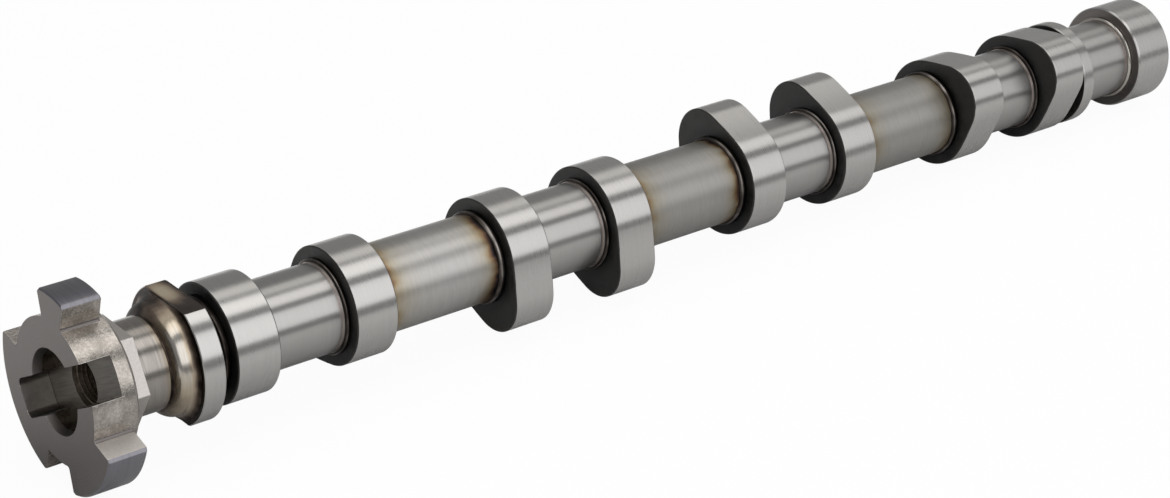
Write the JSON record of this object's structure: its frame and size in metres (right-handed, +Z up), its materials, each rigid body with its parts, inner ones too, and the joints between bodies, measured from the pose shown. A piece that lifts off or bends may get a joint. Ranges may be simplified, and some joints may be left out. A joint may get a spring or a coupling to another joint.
{
  "type": "camshaft",
  "caption": "Assembled overhead camshaft: hollow steel tube with pressed-on lobes, a thrust disc and an end ring, and a welded drive stub with a toothed sensor wheel, driving slot and hexagon.",
  "frame": {"origin": "middle of the shaft's outline seen from above, on the surface that it lies on", "axes": "+X along the shaft from the drive end to the rear end, +Z up, as it lies on a flat surface on two teeth of the sensor wheel and the end ring"},
  "size_m": [0.3866, 0.0516, 0.0519],
  "materials": {
    "tube_steel": "drawn tube with ground journals and heat tints beside the welds",
    "stub_steel": "machined steel with turning and milling marks",
    "lobe_steel": "ground running surface, black side faces",
    "ring_steel": "ground outside, dark front face",
    "collar_steel": "machined, tinted brown by the weld's heat",
    "weld_steel": "weld bead with straw and brown tints"
  },
  "bodies": {
    "root": {"shaft_tube": "tube_steel", "drive_stub": "stub_steel", "stub_weld": "weld_steel", "flatted_collar": "collar_steel", "thrust_disc": "ring_steel", "end_ring": "ring_steel", "end_ring_weld": "weld_steel", "cam_lobe_1": "lobe_steel", "lobe_weld_1": "weld_steel", "cam_lobe_2": "lobe_steel", "lobe_weld_2": "weld_steel", "cam_lobe_3": "lobe_steel", "lobe_weld_3": "weld_steel", "cam_lobe_4": "lobe_steel", "lobe_weld_4": "weld_steel", "cam_lobe_5": "lobe_steel", "lobe_weld_5": "weld_steel", "cam_lobe_6": "lobe_steel", "lobe_weld_6": "weld_steel", "cam_lobe_7": "lobe_steel", "lobe_weld_7": "weld_steel", "cam_lobe_8": "lobe_steel", "lobe_weld_8": "weld_steel"}
  },
  "joints": []
}
